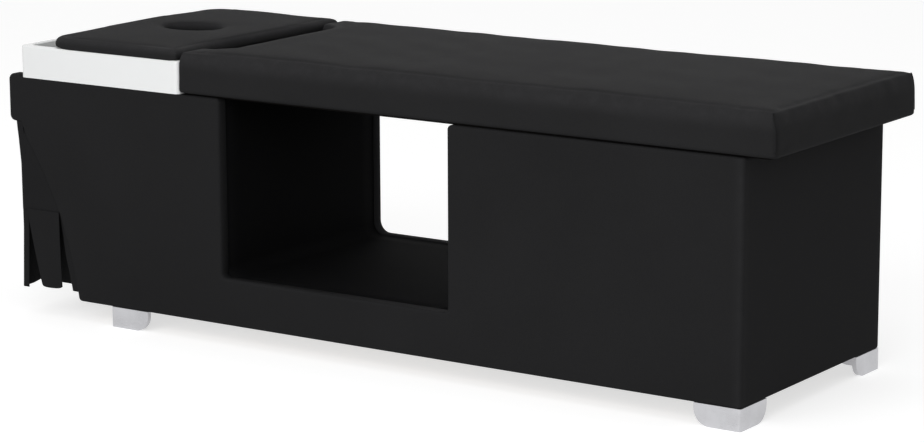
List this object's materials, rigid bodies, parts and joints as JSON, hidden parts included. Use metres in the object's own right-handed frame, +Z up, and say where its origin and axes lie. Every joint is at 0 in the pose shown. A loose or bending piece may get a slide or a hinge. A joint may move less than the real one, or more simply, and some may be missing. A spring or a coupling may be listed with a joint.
{
  "type": "hair washing bed",
  "caption": "Salon hair washing bed: boxed base on corner legs with a through niche, padded mattress, basin with tap and waste under a lift-off head pad, curtained plumbing bay.",
  "frame": {"origin": "on the floor, under the middle of the bed's whole length and width", "axes": "+X to the foot end, +Y across to the far side, +Z up"},
  "size_m": [1.956, 0.61, 0.645],
  "materials": {
    "base_leatherette": "satin black leatherette with a fine grain",
    "mattress_leatherette": "satin charcoal leatherette with a fine grain",
    "curtain_cloth": "thin black leatherette, loosely hung",
    "glazed_ceramic": "white glazed ceramic",
    "soft_rubber": "matt black rubber",
    "foam": "open-cell upholstery foam",
    "polished_steel": "polished, slightly brushed",
    "black_steel": "black powder coat",
    "zinc_steel": "zinc plated",
    "tap_chrome": "bright chrome plate",
    "plumbing_brass": "bare brass",
    "inlet_copper": "bare copper tail with a brass end",
    "white_plastic": "white plumbing plastic",
    "strainer_steel": "brushed stainless steel",
    "pine": "raw sawn softwood",
    "plywood": "raw plywood"
  },
  "bodies": {
    "base": {"near_side_board": "plywood", "far_side_board": "plywood", "near_side_cover": "base_leatherette", "far_side_cover": "base_leatherette", "foot_end_board": "plywood", "foot_end_cover": "base_leatherette", "head_rail_board": "plywood", "head_rail_cover": "base_leatherette", "niche_head_wall": "plywood", "niche_foot_wall": "plywood", "niche_floor": "plywood", "niche_lining": "base_leatherette", "near_bottom_batten": "pine", "far_bottom_batten": "pine", "knee_batten": "pine", "near_foot_post": "pine", "far_foot_post": "pine", "near_basin_cleat": "pine", "far_basin_cleat": "pine", "basin_rail": "pine", "foot_bay_rail": "pine", "rail_brackets": "zinc_steel", "carcass_screws": "zinc_steel", "near_head_leg": "polished_steel", "far_head_leg": "polished_steel", "near_end_leg": "polished_steel", "far_end_leg": "polished_steel", "leg_plates": "black_steel", "leg_screws": "zinc_steel", "basin": "glazed_ceramic", "neck_rest": "soft_rubber", "waste_flange": "tap_chrome", "waste_washer": "soft_rubber", "waste_backnut": "plumbing_brass", "tail_pipe": "tap_chrome", "bottle_trap": "white_plastic", "slip_nuts": "white_plastic", "waste_outlet": "white_plastic", "mixer_body": "tap_chrome", "stud_nut": "plumbing_brass", "water_inlets": "inlet_copper", "mattress_board": "plywood", "mattress_foam": "foam", "mattress_cover": "mattress_leatherette", "mattress_screws": "zinc_steel", "tack_strip": "pine", "curtain_end": "curtain_cloth", "curtain_near_side": "curtain_cloth", "curtain_far_side": "curtain_cloth"},
    "head_pad": {"pad_board": "plywood", "pad_foam": "foam", "pad_cover": "mattress_leatherette", "pad_stops": "soft_rubber"},
    "strainer": {"hair_strainer": "strainer_steel"},
    "spout": {"mixer_spout": "tap_chrome", "aerator": "tap_chrome"},
    "turret": {"mixer_turret": "tap_chrome", "lever_pin": "strainer_steel"},
    "lever": {"mixer_lever": "tap_chrome"}
  },
  "joints": [
    {"name": "head_pad_lift", "type": "slide", "parent": "base", "child": "head_pad", "axis": [0, 0, 1], "range_m": [0, 0.25]},
    {"name": "strainer_lift", "type": "slide", "parent": "base", "child": "strainer", "axis": [0, 0, 1], "range_m": [0, 0.1]},
    {"name": "spout_swivel", "type": "hinge", "parent": "base", "child": "spout", "pos_m": [-0.893, 0, 0.568], "axis": [0, 0, 1], "range_deg": [-30, 30]},
    {"name": "lever_turn", "type": "hinge", "parent": "base", "child": "turret", "pos_m": [-0.893, 0, 0.5925], "axis": [0, 0, 1], "range_deg": [-35, 35]},
    {"name": "lever_lift", "type": "hinge", "parent": "turret", "child": "lever", "pos_m": [-0.893, 0, 0.5993], "axis": [-1, 0, 0], "range_deg": [0, 15]}
  ]
}
